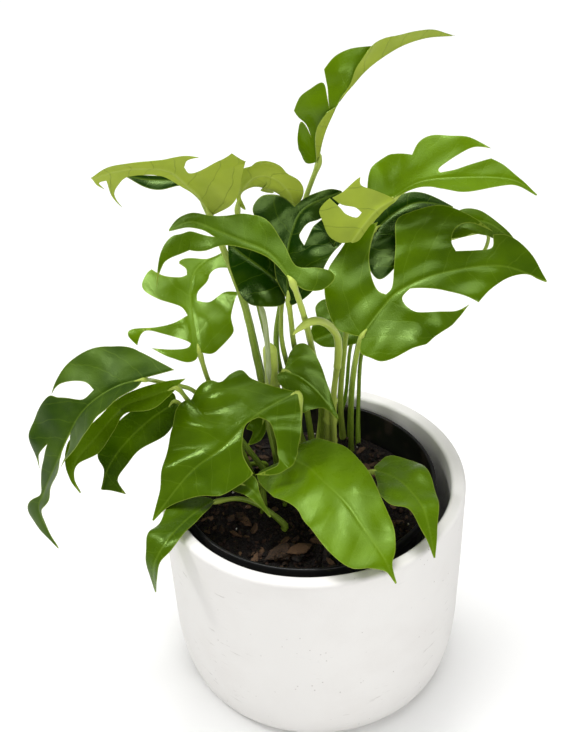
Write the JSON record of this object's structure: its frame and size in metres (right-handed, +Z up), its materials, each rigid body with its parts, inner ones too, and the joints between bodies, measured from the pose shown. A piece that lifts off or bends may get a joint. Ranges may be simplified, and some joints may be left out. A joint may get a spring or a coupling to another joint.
{
  "type": "potted mini monstera",
  "caption": "Young split-leaved climbing plant with arching petioles in a black nursery pot, standing in a round matte white cover pot with a rounded foot.",
  "frame": {"origin": "centre of the flat base of the cover pot, on the surface it stands on", "axes": "+Z up out of the pot, -Y the front of the plant, +X to the right seen from the front"},
  "size_m": [0.3216, 0.19, 0.4088],
  "materials": {
    "cover_pot": "white cast mineral composite, matte",
    "nursery_pot": "black moulded plastic, satin",
    "potting_mix": "damp peat and bark mix, matte",
    "bark": "rough bark",
    "leaf_bright": "young glossy leaf",
    "leaf_mid": "glossy leaf",
    "leaf_deep": "mature glossy leaf",
    "leaf_dark": "shaded mature leaf",
    "leaf_underside": "leaf seen from its pale underside",
    "petiole": "smooth green petiole and stem",
    "sheath": "dry papery sheath"
  },
  "bodies": {
    "root": {"cover_pot": "cover_pot", "nursery_pot": "nursery_pot", "potting_mix": "potting_mix", "bark_chip_1": "bark", "bark_chip_2": "bark", "bark_chip_3": "bark", "leaf_top": "leaf_bright", "leaf_upper_right": "leaf_bright", "leaf_curled": "leaf_underside", "leaf_right": "leaf_deep", "leaf_behind_right": "leaf_dark", "leaf_far_right": "leaf_dark", "leaf_low_right": "leaf_dark", "leaf_upper_left": "leaf_underside", "leaf_upper_left_back": "leaf_dark", "leaf_arching": "leaf_underside", "leaf_centre_left": "leaf_mid", "leaf_centre_left_back": "leaf_dark", "leaf_centre_back": "leaf_dark", "leaf_left": "leaf_bright", "leaf_far_left": "leaf_deep", "leaf_far_left_under": "leaf_mid", "leaf_far_left_low": "leaf_dark", "leaf_front_left": "leaf_deep", "leaf_front": "leaf_mid", "leaf_front_right": "leaf_mid", "leaf_low_left": "leaf_deep", "leaf_small_centre": "leaf_mid", "leaf_small_low": "leaf_mid", "leaf_small_inner": "leaf_mid", "stem_left": "petiole", "stem_right": "petiole", "petiole_top": "petiole", "petiole_upper_right": "petiole", "petiole_right": "petiole", "petiole_behind_right": "petiole", "petiole_far_right": "petiole", "petiole_low_right": "petiole", "petiole_upper_left": "petiole", "petiole_upper_left_back": "petiole", "petiole_arching": "petiole", "petiole_centre_left": "petiole", "petiole_centre_left_back": "petiole", "petiole_centre_back": "petiole", "petiole_left": "petiole", "petiole_far_left": "petiole", "petiole_far_left_under": "petiole", "petiole_far_left_low": "petiole", "petiole_front_left": "petiole", "petiole_front": "petiole", "petiole_front_right": "petiole", "petiole_low_left": "petiole", "petiole_small_centre": "petiole", "petiole_small_low": "petiole", "petiole_small_inner": "petiole", "sheath_curled": "sheath", "sheath_left": "sheath", "sheath_right": "sheath"}
  },
  "joints": []
}
